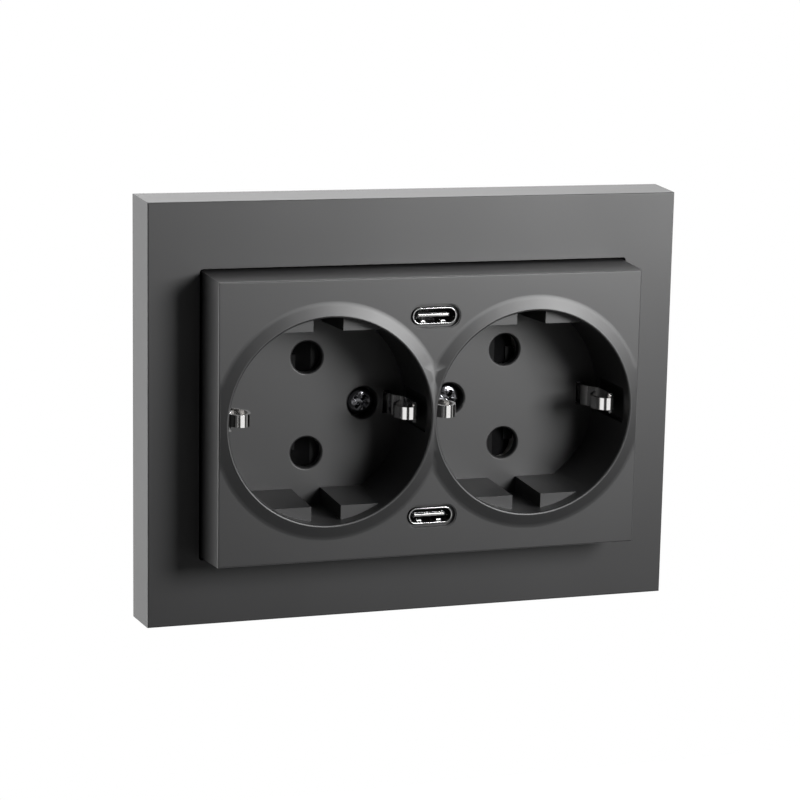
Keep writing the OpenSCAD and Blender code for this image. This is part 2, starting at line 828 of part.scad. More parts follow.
// Insulating carrier: it holds the contacts and guides the shutters
core_pocket_w = 22;
core_pocket_h = 9;
core_pocket_depth = 8;
module contact_carrier() color(carrier_grey) {
    groove_half = earth_w / 2 + slot_room / 2;
    difference() {
        union() {
            front_view(carrier_y, plate_y) flatted_disc(flange_r, flange_flat);
            front_view(carrier_y, carrier_back) flatted_disc(carrier_r, carrier_flat);
        }
        both_sides() {
            above_and_below() front_view(carrier_y - over, pocket_y) blade_outline(pocket_r, pocket_in);
            slab(
                [blade_out - bridge_w - shutter_travel - shutter_gap, carrier_y - over, -pin_z],
                [blade_out + shutter_gap, shutter_back - bridge_back + shutter_gap, pin_z]
            );
            slab(
                [well_x - clip_foot - over, carrier_y - over, -groove_half],
                [jog_out + earth_t / 2, strap_back, groove_half]
            );
            slab([jog_out, carrier_y - over, -groove_half], [housing_r + flange_r, plate_y, groove_half]);
            rod(screw_x, 0, carrier_y - over, strap_y, screw_recess_r + boss_wall + fit_gap);
            rod(screw_x, 0, strap_y, rail_back + screw_grip + fit_gap, screw_r + slot_room);
            above_and_below() {
                slab(
                    [well_x - leaf_w / 2 - leaf_room, pocket_y - over, pin_z - chamber_half],
                    [well_x + leaf_w / 2 + leaf_room, carrier_back + over, pin_z + chamber_half]
                );
                slab(
                    [-over, bar_y - fit_gap, pin_z - chamber_half],
                    [well_x + leaf_w / 2 + leaf_room, carrier_back + over, pin_z + chamber_half]
                );
            }
        }
        slab(
            [terminal_x - terminal_tab_w / 2 - fit_gap, strap_back - over, -rail_half - fit_gap],
            [screw_x + rail_reach + fit_gap, rail_back, rail_half + fit_gap]
        );
        slab(
            [terminal_x - terminal_tab_w / 2 - fit_gap, rail_back - over, -contact_t / 2 - fit_gap],
            [terminal_x + terminal_tab_w / 2 + fit_gap, carrier_back + over, contact_t / 2 + fit_gap]
        );
        slab(
            [-core_pocket_w / 2, carrier_back - core_pocket_depth, -core_pocket_h / 2],
            [core_pocket_w / 2, carrier_back + over, core_pocket_h / 2]
        );
        above_and_below() {
            link_slot(carrier_y, carrier_back);
            slab(
                [-holder_w / 2 - holder_gap, carrier_y - over, link_z - holder_low - holder_gap],
                [holder_w / 2 + holder_gap, carrier_y + holder_foot, link_z + holder_high + holder_gap]
            );
        }
        at_posts()
            rod(0, 0, carrier_back - housing_screw_grip, carrier_back + over, housing_screw_r + thread_gap);
    }
}

// A contact bar: two pairs of spring leaves on one strip, with a tab to its terminal
module contact_bar() color(brass) {
    root_y = bar_back - contact_t / 2;
    reach = pocket_y + leaf_start - bar_back;
    difference() {
        slab(
            [-well_x - leaf_w / 2, bar_y, pin_z - bar_half],
            [well_x + leaf_w / 2, bar_back, pin_z + bar_half]
        );
        rod(supply_pin_x, pin_z, bar_y - over, bar_back + over, supply_pin_r + thread_gap);
    }
    for (side = [-1, 1], half = [-1, 1]) {
        side_view(side * well_x - leaf_w / 2, side * well_x + leaf_w / 2) polygon(strip(smooth([
            for (p = leaf_shares) [root_y + reach * p[1], pin_z + half * bar_half * p[0]]
        ]), leaf_t));
    }
    slab(
        [terminal_x - terminal_tab_w / 2, bar_back - contact_t / 2, pin_z - contact_t / 2],
        [terminal_x + terminal_tab_w / 2, terminal_y, pin_z + contact_t / 2]
    );
}

// A terminal: a brass block with a hole for the wire and a clamping screw in its side
module terminal(z) color(brass) {
    left = terminal_x - terminal_w / 2;
    back = terminal_y + terminal_len;
    difference() {
        slab([left, terminal_y, z - terminal_h / 2], [left + terminal_w, back, z + terminal_h / 2]);
        rod(terminal_x + wire_shift, z, terminal_y + contact_t, back + over, wire_r);
        translate([left - over, terminal_y + terminal_len / 2, z]) rotate([0, 90, 0])
            cylinder(h = over + terminal_w / 2 + wire_shift, r = terminal_screw_r + thread_gap);
    }
}

// The clamping screws of the three terminals
driver_slot_w = 0.8;
driver_slot_depth = 0.7;
module terminal_screws() color(steel) {
    left = terminal_x - terminal_w / 2;
    for (z = [-pin_z, 0, pin_z]) {
        translate([left, terminal_y + terminal_len / 2, z]) difference() {
            rotate([0, 90, 0]) union() {
                translate([0, 0, -terminal_head_h]) cylinder(h = terminal_head_h, r = terminal_head_r);
                cylinder(h = terminal_screw_len - terminal_head_h, r = terminal_screw_r);
            }
            slab(
                [-terminal_head_h - over, -driver_slot_w / 2, -terminal_head_r - over],
                [-terminal_head_h + driver_slot_depth, driver_slot_w / 2, terminal_head_r + over]
            );
        }
    }
}

// Insulating sheet between the mains contacts and the charger's board
module insulating_sheet() color("#e6e2d2") {
    difference() {
        front_view(carrier_back, sheet_back) flatted_disc(carrier_r, carrier_flat);
        for (z = [-pin_z, 0, pin_z]) {
            slab(
                [terminal_x - terminal_tab_w / 2 - fit_gap, carrier_back - over, z - contact_t],
                [terminal_x + terminal_tab_w / 2 + fit_gap, sheet_back + over, z + contact_t]
            );
        }
        above_and_below() {
            rod(supply_pin_x, pin_z, carrier_back - over, sheet_back + over, supply_pin_r + fit_gap);
            link_slot(carrier_back, sheet_back);
        }
        at_posts() rod(0, 0, carrier_back - over, sheet_back + over, housing_screw_r + fit_gap);
    }
}

// Two pins that feed the charger's board from the contact bars
module supply_pins() color(brass) {
    above_and_below() rod(supply_pin_x, pin_z, bar_y, board_back, supply_pin_r);
}

// The charger's board
module power_board() color(board_green) {
    difference() {
        intersection() {
            front_view(board_y, board_back) flatted_disc(carrier_r - board_rim, carrier_flat - board_rim);
            slab([board_left, board_y - over, -housing_r], [housing_r, board_back + over, housing_r]);
        }
        at_posts() {
            rod(0, 0, board_y - over, board_back + over, screw_post_r + fit_gap);
            slab(
                [-post_web_t / 2 - fit_gap, board_y - over, 0],
                [post_web_t / 2 + fit_gap, board_back + over, housing_flat]
            );
        }
        above_and_below()
            rod(supply_pin_x, pin_z, board_y - over, board_back + over, supply_pin_r + thread_gap);
    }
}

// Small board that carries a port, on the end of its holder
module port_board() color(board_green) {
    difference() {
        slab(
            [-port_board_w / 2, port_board_y, link_z - port_board_low],
            [port_board_w / 2, port_board_back, port_z + port_board_high]
        );
        room_beside_wells(carrier_y);
    }
}

// Header between a port board and the charger's board
module port_link() color(black_plastic) {
    translate([0, 0, link_z]) {
        slab([-link_w / 2, sheet_back, -link_strip_h / 2], [link_w / 2, board_y, link_strip_h / 2]);
        for (k = [0:link_count - 1]) {
            x = (k - (link_count - 1) / 2) * link_pitch;
            slab(
                [x - link_pin / 2, port_board_back, -link_pin / 2],
                [x + link_pin / 2, sheet_back + over, link_pin / 2]
            );
        }
    }
}

// Metal shell of a port
module usb_shell() color(nickel) {
    translate([0, 0, port_z]) difference() {
        front_view(shell_y, port_board_y) stadium(shell_w, shell_h);
        front_view(shell_y - over, port_board_y + over)
            stadium(shell_w - 2 * shell_t, shell_h - 2 * shell_t);
    }
}

// Insulator inside the shell, with the tongue that carries the contacts
tongue_tip = 0.3;
module usb_tongue() color(black_plastic) {
    tip_y = shell_y + tongue_drop;
    translate([0, 0, port_z]) {
        front_view(port_board_y - tongue_base, port_board_y)
            stadium(shell_w - 2 * shell_t, shell_h - 2 * shell_t);
        top_view(-tongue_t / 2, tongue_t / 2) polygon([
            [-tongue_w / 2, port_board_y - tongue_base / 2],
            [-tongue_w / 2, tip_y + tongue_tip],
            [-tongue_w / 2 + tongue_tip, tip_y],
            [tongue_w / 2 - tongue_tip, tip_y],
            [tongue_w / 2, tip_y + tongue_tip],
            [tongue_w / 2, port_board_y - tongue_base / 2]
        ]);
    }
}

// Ferrite core of the transformer, a closed frame with a middle limb
module transformer_core() color("#3b3b3d") {
    window = (core_w - 3 * core_limb) / 2;
    translate([core_x - core_w / 2, board_back + coil_t, 0]) difference() {
        slab([0, 0, -core_h / 2], [core_w, core_depth, core_h / 2]);
        for (left = [core_limb, 2 * core_limb + window]) {
            slab(
                [left, -over, -core_h / 2 + core_limb],
                [left + window, core_depth + over, core_h / 2 - core_limb]
            );
        }
    }
}

// Winding round the middle limb, which stands on the board and holds the core off it
module transformer_coil() color("#c8a13a") {
    half = core_w / 2 - core_limb - fit_gap;
    hole_half = core_limb / 2 + fit_gap;
    difference() {
        slab(
            [core_x - half, board_back, -core_h / 2 + core_limb + fit_gap],
            [core_x + half, board_back + core_depth + 2 * coil_t, core_h / 2 - core_limb - fit_gap]
        );
        slab(
            [core_x - hole_half, board_back + coil_t - fit_gap, -core_h],
            [core_x + hole_half, board_back + coil_t + core_depth + fit_gap, core_h]
        );
    }
}

// A round capacitor with a crimped groove, standing on the board
module capacitor(z, r) {
    translate([capacitor_x, board_back, z]) rotate([-90, 0, 0]) rotate_extrude() polygon([
        [0, 0],
        [r, 0],
        [r, 2 * capacitor_groove],
        [r - capacitor_groove, 3 * capacitor_groove],
        [r, 4 * capacitor_groove],
        [r, capacitor_len - capacitor_groove],
        [r - capacitor_groove, capacitor_len],
        [0, capacitor_len]
    ]);
}
module mains_capacitor() color("#26282c") capacitor(capacitor_z, mains_capacitor_r);
module output_capacitor() color("#26282c") capacitor(-capacitor_z, output_capacitor_r);

// Drum-shaped filter choke
module filter_choke() color("#3b3b3d") {
    translate([choke_x, board_back, choke_z]) rotate([-90, 0, 0]) rotate_extrude() polygon([
        [0, 0],
        [choke_r, 0],
        [choke_r, choke_waist],
        [choke_r - choke_waist, choke_waist],
        [choke_r - choke_waist, choke_len - choke_waist],
        [choke_r, choke_len - choke_waist],
        [choke_r, choke_len],
        [0, choke_len]
    ]);
}

// Mains fuse, lying on the board
module mains_fuse() color("#cfd2d4") {
    translate([choke_x - fuse_len / 2, board_back + fuse_r, -capacitor_z]) rotate([0, 90, 0]) {
        cylinder(h = fuse_len, r = fuse_r - capacitor_groove);
        cylinder(h = fuse_cap_len, r = fuse_r);
        translate([0, 0, fuse_len - fuse_cap_len]) cylinder(h = fuse_cap_len, r = fuse_r);
    }
}

// Rear housing: a wall round the charger with four screw posts, and holes for the terminals' driver
module rear_housing() color(black_plastic) {
    inner_flat = housing_flat - housing_wall;
    difference() {
        union() {
            difference() {
                front_view(0, housing_floor) flatted_disc(housing_r, housing_flat);
                front_view(-over, housing_floor + over) flatted_disc(housing_r - housing_wall, inner_flat);
            }
            at_posts() {
                rod(0, 0, sheet_back, housing_floor, screw_post_r);
                slab(
                    [-post_web_t / 2, sheet_back, 0],
                    [post_web_t / 2, housing_floor, inner_flat + housing_wall / 2 - screw_post_z]
                );
            }
        }
        at_posts() rod(0, 0, sheet_back - over, housing_floor + over, housing_screw_r + fit_gap);
        for (z = [-pin_z, 0, pin_z]) {
            translate([-housing_r - over, terminal_y + terminal_len / 2, z]) rotate([0, 90, 0])
                cylinder(h = housing_r + terminal_x, r = driver_r);
        }
    }
}

// Back of the rear housing, with the wire entries and seats for the screws
entry_bevel = 0.3;
module housing_back() color(black_plastic) {
    difference() {
        front_view(housing_floor, housing_depth) flatted_disc(housing_r, housing_flat);
        at_posts() rod(0, 0, housing_floor - over, housing_depth + over, housing_screw_r + fit_gap);
        at_posts() rod(
            0, 0, housing_depth - housing_screw_head_h, housing_depth + over, housing_screw_head_r + fit_gap
        );
        for (z = [-pin_z, 0, pin_z]) {
            rod(terminal_x + wire_shift, z, housing_floor - over, housing_depth + over, wire_entry_r);
            rod(
                terminal_x + wire_shift, z, housing_depth - entry_bevel, housing_depth,
                0, wire_entry_r, wire_entry_r + entry_bevel
            );
        }
    }
}

// Screws that hold the rear housing to the carrier
module housing_screws() color(steel) {
    head_y = housing_depth - housing_screw_head_h;
    at_posts() difference() {
        union() {
            rod(0, 0, head_y, housing_depth - fit_gap, housing_screw_head_r);
            rod(0, 0, carrier_back - housing_screw_grip + fit_gap, head_y, housing_screw_r);
        }
        for (turn = [0, 90]) {
            rotate([0, turn, 0]) slab(
                [-housing_screw_head_r / 2, housing_depth - driver_slot_depth, -driver_slot_w / 2],
                [housing_screw_head_r / 2, housing_depth + over, driver_slot_w / 2]
            );
        }
    }
}

cover_frame();
socket_cover();
mirror([1, 0, 0]) well_floor();  // well_floor_left
well_floor();  // well_floor_right
mirror([1, 0, 0]) cover_screw();  // cover_screw_left
cover_screw();  // cover_screw_right
usb_shell();  // usb_shell_top
mirror([0, 0, 1]) usb_shell();  // usb_shell_bottom
usb_tongue();  // usb_tongue_top
mirror([0, 0, 1]) usb_tongue();  // usb_tongue_bottom
mirror([1, 0, 0]) earth_strap();  // earth_strap_left
earth_strap();  // earth_strap_right
earth_rail();
mirror([1, 0, 0]) shutter();  // shutter_left
shutter();  // shutter_right
mirror([1, 0, 0]) shutter_spring();  // shutter_spring_left_top
mirror([1, 0, 0]) lower_spring();  // shutter_spring_left_bottom
shutter_spring();  // shutter_spring_right_top
lower_spring();  // shutter_spring_right_bottom
support_plate();
contact_carrier();
port_holder();  // port_holder_top
mirror([0, 0, 1]) port_holder();  // port_holder_bottom
contact_bar();  // line_contact_bar
mirror([0, 0, 1]) contact_bar();  // neutral_contact_bar
terminal(pin_z);  // terminal_line
terminal(-pin_z);  // terminal_neutral
terminal(0);  // terminal_earth
terminal_screws();
insulating_sheet();
power_board();
supply_pins();
port_board();  // port_board_top
mirror([0, 0, 1]) port_board();  // port_board_bottom
port_link();  // port_link_top
mirror([0, 0, 1]) port_link();  // port_link_bottom
transformer_core();
transformer_coil();
mains_capacitor();
output_capacitor();
filter_choke();
mains_fuse();
rear_housing();
housing_back();
housing_screws();
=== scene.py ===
# %% [markdown]
# # A twin wall socket with two charging ports
#
# The object is an anthracite wall device: a flat surround frame, and in it one insert with two round wells
# for earthed plugs and two small charging ports. The solids come from the CAD model in one fixed frame:
# X to the right, Y into the wall, Z up, in metres. Blender adds what CAD leaves out: rounded edges that
# catch the light, moulded grain, threads, contacts and real metals. Nothing here changes a CAD mesh.

# %% Load the frame
import json
import math

import bpy
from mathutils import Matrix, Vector

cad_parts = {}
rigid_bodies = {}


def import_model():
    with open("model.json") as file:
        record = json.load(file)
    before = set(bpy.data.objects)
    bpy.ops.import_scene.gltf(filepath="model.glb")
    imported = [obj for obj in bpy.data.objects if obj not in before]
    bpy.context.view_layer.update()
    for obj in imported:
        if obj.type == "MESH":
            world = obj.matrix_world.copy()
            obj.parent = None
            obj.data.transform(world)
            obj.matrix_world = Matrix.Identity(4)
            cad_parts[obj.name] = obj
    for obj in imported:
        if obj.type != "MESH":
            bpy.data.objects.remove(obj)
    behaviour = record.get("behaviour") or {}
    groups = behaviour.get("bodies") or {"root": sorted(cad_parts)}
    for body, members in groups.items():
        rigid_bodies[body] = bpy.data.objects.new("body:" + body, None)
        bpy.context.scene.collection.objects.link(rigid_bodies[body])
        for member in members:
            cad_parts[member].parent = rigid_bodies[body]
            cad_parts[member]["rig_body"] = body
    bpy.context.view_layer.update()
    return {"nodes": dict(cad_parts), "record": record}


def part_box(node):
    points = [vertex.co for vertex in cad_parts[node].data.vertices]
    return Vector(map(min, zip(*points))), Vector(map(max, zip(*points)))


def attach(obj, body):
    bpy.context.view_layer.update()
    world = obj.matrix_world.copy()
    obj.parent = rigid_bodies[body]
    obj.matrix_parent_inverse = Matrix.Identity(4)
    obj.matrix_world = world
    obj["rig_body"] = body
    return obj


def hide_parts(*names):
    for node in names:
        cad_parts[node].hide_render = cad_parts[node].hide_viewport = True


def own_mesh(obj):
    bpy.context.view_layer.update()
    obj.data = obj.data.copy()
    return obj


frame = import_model()
nodes = frame["nodes"]
mm = 0.001

# %% [markdown]
# ## Camera
#
# The photograph was taken from the left and a little above, with a long lens. The place, turn and focal
# length were found by fitting a pinhole camera to corners of the frame, the wells and the pin holes, so
# they are typed here as found. A long lens keeps the frame's edges nearly parallel.

# %% Place the camera
bpy.ops.object.camera_add(
    location=(-0.15798, -0.47161, 0.09689),
    rotation=(math.radians(78.8929), math.radians(-1.0519), math.radians(-18.3391)),
)
camera = bpy.context.object
camera.name = "photo_camera"
camera.data.sensor_width = 36
camera.data.lens = 114.16
camera.data.clip_start = 0.01
bpy.context.scene.camera = camera
bpy.context.scene.view_settings.view_transform = "Standard"
print("lens", camera.data.lens, "mm")

# %% [markdown]
# ## Light and floor
#
# The photograph has a pure white background, black shadows beside the insert, and sides of the frame that
# are far brighter than its front. That is a dark studio with a white backdrop behind the object: at a
# glancing angle even matte plastic mirrors the backdrop. So the world is white for what the camera sees,
# and mirror rays see it white behind the object and fading to dark grey behind the camera. Two white cards
# show in mirror rays too, a tall one at the left and a flat one low in front: they give the bright clips
# their bands. It could be one even white world, but then the shadows and the metal go flat.


# %% Helpers for shader nodes
def add_node(tree, kind, inputs, **settings):
    """Adds a shader node. Each input is a value, or another node's output that is linked to it."""
    node = tree.nodes.new("ShaderNode" + kind)
    for name, value in settings.items():
        setattr(node, name, value)
    for label, value in inputs.items():
        if isinstance(value, bpy.types.NodeSocket):
            tree.links.new(value, node.inputs[label])
        else:
            node.inputs[label].default_value = value
    return node


def math_of(tree, operation, *values, clamp=False):
    """The output of a Math node over values or other nodes' outputs."""
    node = add_node(tree, "Math", dict(enumerate(values)), operation=operation, use_clamp=clamp)
    return node.outputs[0]


def faded(tree, value, low, high, darkest):
    """A soft ramp from darkest to white, while a value goes from low to high."""
    ramp = {"Value": value, "From Min": low, "From Max": high, "To Min": darkest, "To Max": 1.0}
    return add_node(tree, "MapRange", ramp, interpolation_type="SMOOTHSTEP").outputs["Result"]


# %% The studio: a white backdrop in a dark room
world = bpy.data.worlds.new("white_backdrop")
bpy.context.scene.world = world
world.use_nodes = True
room = world.node_tree
room.nodes.clear()
rays = add_node(room, "LightPath", {})
looking = add_node(room, "TexCoord", {})
direction = add_node(room, "SeparateXYZ", {0: looking.outputs["Generated"]})
seen_in_metal = faded(room, direction.outputs["Y"], -0.45, 0.30, 0.05)


def add_card(before, middle, reach):
    """Adds a white card to what mirror rays see: the directions within reach of its middle."""
    x, y, z = (
        math_of(room, "COMPARE", direction.outputs[axis], centre, half)
        for axis, centre, half in zip("XYZ", middle, reach)
    )
    inside = math_of(room, "MULTIPLY", math_of(room, "MULTIPLY", x, y), z)
    return math_of(room, "MAXIMUM", before, inside)


tall_card = (-0.80, -0.50, -0.16), (0.25, 0.26, 0.18)
low_card = (0.30, -0.80, -0.19), (0.46, 0.40, 0.07)
for middle, reach in (tall_card, low_card):
    seen_in_metal = add_card(seen_in_metal, middle, reach)
print("world: white cards towards", tall_card[0], "and", low_card[0])

# %% What each kind of ray sees of the world
soft_fill = 0.03
glossy = {"Factor": rays.outputs["Is Glossy Ray"], "A": soft_fill, "B": seen_in_metal}
mirrored = add_node(room, "Mix", glossy)
direct = math_of(room, "MAXIMUM", rays.outputs["Is Camera Ray"], rays.outputs["Is Transmission Ray"])
shown = add_node(room, "Mix", {"Factor": direct, "A": mirrored.outputs["Result"], "B": 1.0})
white_light = {"Color": (1, 1, 1, 1), "Strength": shown.outputs["Result"]}
background = add_node(room, "Background", white_light)
add_node(room, "OutputWorld", {"Surface": background.outputs[0]})
print("world:", len(room.nodes), "nodes, soft fill", soft_fill)


# %% [markdown]
# Three soft lamps. The key stands close, to the right and a little above: the shadow that the insert
# throws on the frame gives its direction and its width, and its nearness makes the upper right corner
# brighter than the lower left one. Two more stand behind the frame's front, above and to the left, so they
# reach the frame's edges and hardly touch the front.


# %% Lamps
def soft_lamp(name, place, target, size, watts):
    """A square area lamp that looks at a point."""
    bpy.ops.object.light_add(type="AREA", location=place)
    lamp = bpy.context.object
    lamp.name = name
    lamp.data.size = size
    lamp.data.energy = watts
    lamp.rotation_euler = (Vector(target) - Vector(place)).to_track_quat("-Z", "Y").to_euler()
    return lamp


key_lamp = soft_lamp("key_lamp", (0.178, -0.310, 0.108), (0, 0, 0), 0.14, 1.72)
top_lamp = soft_lamp("top_lamp", (0.06, 0.25, 0.40), (0, 0, 0.02), 0.35, 2.6)
side_lamp = soft_lamp("side_lamp", (-0.40, 0.20, 0.0), (-0.03, 0, 0), 0.35, 1.6)
print("lamps:", [lamp.name for lamp in (key_lamp, top_lamp, side_lamp)])

# %% [markdown]
# The device hangs on a wall that the photograph leaves out, so the floor lies far below it. The camera sees
# it as white as the backdrop. Mirror rays see it white only behind the object: a floor that is white
# everywhere shows in every piece of metal and turns the clips and the screws flat white.

# %% A pale floor
floor_drop = 1.6
bpy.ops.mesh.primitive_plane_add(size=8, location=(0, 0, -floor_drop))
floor = bpy.context.object
floor.name = "studio_floor"
floor_paint = bpy.data.materials.new("studio_floor")
floor_paint.use_nodes = True
floor.data.materials.append(floor_paint)
paint = floor_paint.node_tree
floor_rays = add_node(paint, "LightPath", {})
on_floor = add_node(paint, "TexCoord", {})
floor_place = add_node(paint, "SeparateXYZ", {0: on_floor.outputs["Object"]})
floor_fade = faded(paint, floor_place.outputs["Y"], -0.20, 0.45, 0.03)
floor_glossy = math_of(paint, "MULTIPLY", floor_rays.outputs["Is Glossy Ray"], floor_fade)
floor_seen = math_of(paint, "MAXIMUM", floor_rays.outputs["Is Camera Ray"], floor_glossy)
floor_shader = paint.nodes["Principled BSDF"]
floor_shader.inputs["Base Color"].default_value = (0.85, 0.85, 0.85, 1)
floor_shader.inputs["Roughness"].default_value = 0.9
floor_shader.inputs["Emission Color"].default_value = (1, 1, 1, 1)
paint.links.new(floor_seen, floor_shader.inputs["Emission Strength"])
print("floor", floor_drop, "m below, seen white, mirrored white only behind the object")

# %% [markdown]
# ## Shader groups that several finishes share
#
# Moulded plastic is never quite flat: the mould's spark-eroded texture leaves a fine grain, and the gloss
# drifts a little over the surface. Rolled or drawn metal has fine streaks along one direction. Each of
# these is one node group with named inputs, used by several materials with their own values.


# %% A helper for node groups
def new_group(name, inputs, outputs):
    """An empty shader node group; inputs are (name, type, value), outputs are (name, type)."""
    group = bpy.data.node_groups.new(name, "ShaderNodeTree")
    for label, kind, value in inputs:
        socket = group.interface.new_socket(label, in_out="INPUT", socket_type=kind)
        if value is not None:
            socket.default_value = value
    for label, kind in outputs:
        group.interface.new_socket(label, in_out="OUTPUT", socket_type=kind)
    return group, group.nodes.new("NodeGroupInput"), group.nodes.new("NodeGroupOutput")


def add_noise(group, put, output, vector, scale, **levels):
    """Adds a noise texture to a group and links it to one of the group's outputs."""
    noise = add_node(group, "TexNoise", {"Vector": vector, "Scale": scale, **levels})
    group.links.new(noise.outputs["Fac"], put.inputs[output])


# %% Moulded grain
grain_group, given, put = new_group(
    "moulded_grain",
    [
        ("Vector", "NodeSocketVector", None),
        ("Grain per metre", "NodeSocketFloat", 6000.0),
        ("Clouds per metre", "NodeSocketFloat", 60.0),
    ],
    [("Height", "NodeSocketFloat"), ("Cloud", "NodeSocketFloat")],
)
place, grain, clouds = (given.outputs[label] for label in ("Vector", "Grain per metre", "Clouds per metre"))
add_noise(grain_group, put, "Height", place, grain, Detail=3, Roughness=0.6)
add_noise(grain_group, put, "Cloud", place, clouds, Detail=2)
print(grain_group.name, len(grain_group.nodes), "nodes")

# %% Drawn streaks
broad_share = 0.12
streak_group, given, put = new_group(
    "drawn_streaks",
    [
        ("Vector", "NodeSocketVector", None),
        ("Along", "NodeSocketVector", (1.0, 0.04, 1.0)),
        ("Streaks per metre", "NodeSocketFloat", 9000.0),
    ],
    [("Height", "NodeSocketFloat"), ("Streak", "NodeSocketFloat")],
)
stretch = {0: given.outputs["Vector"], 1: given.outputs["Along"]}
stretched = add_node(streak_group, "VectorMath", stretch, operation="MULTIPLY").outputs[0]
streaks = given.outputs["Streaks per metre"]
broader = math_of(streak_group, "MULTIPLY", streaks, broad_share)
add_noise(streak_group, put, "Height", stretched, streaks, Detail=4)
add_noise(streak_group, put, "Streak", stretched, broader, Detail=1)
print(streak_group.name, len(streak_group.nodes), "nodes")


# %% [markdown]
# ## Finishes
#
# Each finish starts as a Principled material with plain values on its own sockets. The grain or the
# streaks then move its colour and roughness by a few per cent and feed a Bump node. The anthracite is
# nearly black in itself. Most of what the photograph shows on it is a broad sheen, so its mirror level is
# high and its roughness in the middle.


# %% Helpers for materials
def new_finish(name, color, roughness, **sockets):
    """A Principled material with plain values."""
    finish = bpy.data.materials.new(name)
    finish.use_nodes = True
    shader = finish.node_tree.nodes["Principled BSDF"]
    shader.inputs["Base Color"].default_value = (*color, 1)
    shader.inputs["Roughness"].default_value = roughness
    for socket, value in sockets.items():
        shader.inputs[socket.replace("_", " ")].default_value = value
    return finish


def vary(finish, group, source, values, color_shift, roughness_shift, bump_mm):
    """Lets a group move the colour, the roughness and the surface of a finish."""
    tree = finish.node_tree
    shader = tree.nodes["Principled BSDF"]
    color = shader.inputs["Base Color"].default_value[:3]
    level = shader.inputs["Roughness"].default_value
    on_piece = add_node(tree, "TexCoord", {}).outputs["Object"]
    effect = add_node(tree, "Group", {"Vector": on_piece, **values}, node_tree=group)
    drift = effect.outputs[source]
    darker = (*[c * (1 - color_shift) for c in color], 1)
    lighter = (*[c * (1 + color_shift) for c in color], 1)
    tint = add_node(tree, "Mix", {"Factor": drift, "A": darker, "B": lighter}, data_type="RGBA")
    ends = {"Value": drift, "To Min": level - roughness_shift, "To Max": level + roughness_shift}
    spread = add_node(tree, "MapRange", ends)
    relief = {"Strength": 1.0, "Distance": bump_mm * mm, "Height": effect.outputs["Height"]}
    bump = add_node(tree, "Bump", relief)
    tree.links.new(tint.outputs["Result"], shader.inputs["Base Color"])
    tree.links.new(spread.outputs["Result"], shader.inputs["Roughness"])
    tree.links.new(bump.outputs["Normal"], shader.inputs["Normal"])
    return finish


def moulded(name, color, roughness, bump_mm=0.004, color_shift=0.05, **sockets):
    """A surface with an even fine grain, as an eroded mould leaves it."""
    finish = new_finish(name, color, roughness, **sockets)
    values = {"Grain per metre": 5000.0, "Clouds per metre": 45.0}
    return vary(finish, grain_group, "Cloud", values, color_shift, 0.05, bump_mm)


def metal(name, color, roughness, along, streaks=9000.0):
    """Metal with streaks along one direction."""
    finish = new_finish(name, color, roughness, Metallic=1.0)
    values = {"Along": along, "Streaks per metre": streaks}
    return vary(finish, streak_group, "Streak", values, 0.06, roughness * 0.3, 0.001)


# %% The finishes of this device
anthracite = (0.015, 0.015, 0.0156)
finishes = {
    "frame_plastic": moulded("anthracite_frame", anthracite, 0.5, Specular_IOR_Level=0.75),
    "cover_plastic": moulded("anthracite_insert", anthracite, 0.48, Specular_IOR_Level=0.84),
    # the screws' zinc is set dark: painted shade of the deep recess round their heads
    "screw_steel": metal("zinc_screw_painted_shade", (0.16, 0.16, 0.17), 0.16, (1, 0.05, 1), streaks=4000.0),
    "port_shell": metal("nickel_shell", (0.50, 0.50, 0.50), 0.20, (1, 0.05, 1)),
    "port_insulator": moulded("port_insulator", (0.010, 0.010, 0.011), 0.35, bump_mm=0.001),
    "earth_strip": metal("nickel_strip", (0.80, 0.79, 0.78), 0.10, (1, 1, 0.05)),
    "contact_brass": metal("contact_brass", (0.78, 0.57, 0.25), 0.24, (0.05, 1, 1)),
    "shutter_plastic": moulded("shutter_plastic", (0.003, 0.003, 0.0033), 0.45, Specular_IOR_Level=0.12),
    "spring_steel": metal("spring_steel", (0.55, 0.55, 0.56), 0.22, (1, 1, 0.2)),
    "plate_steel": moulded("zinc_plate", (0.62, 0.64, 0.67), 0.38, bump_mm=0.001, Metallic=1.0),
    "carrier_plastic": moulded("carrier_plastic", (0.60, 0.60, 0.57), 0.38),
    "sheet_insulation": moulded("pressed_board", (0.62, 0.56, 0.40), 0.55, color_shift=0.12),
    "circuit_board": moulded("solder_resist", (0.025, 0.12, 0.06), 0.28, bump_mm=0.002),
    "ferrite": moulded("ferrite", (0.045, 0.044, 0.046), 0.6, bump_mm=0.01),
    "winding_tape": moulded("polyester_tape", (0.72, 0.45, 0.06), 0.25, bump_mm=0.002),
    "capacitor_sleeve": moulded("capacitor_sleeve", (0.02, 0.024, 0.034), 0.25, bump_mm=0.001),
    "fuse_body": moulded("fuse_ceramic", (0.66, 0.65, 0.60), 0.3, bump_mm=0.001),
    "housing_plastic": moulded("black_housing", (0.028, 0.028, 0.03), 0.45),
}
print(len(finishes), "finishes")
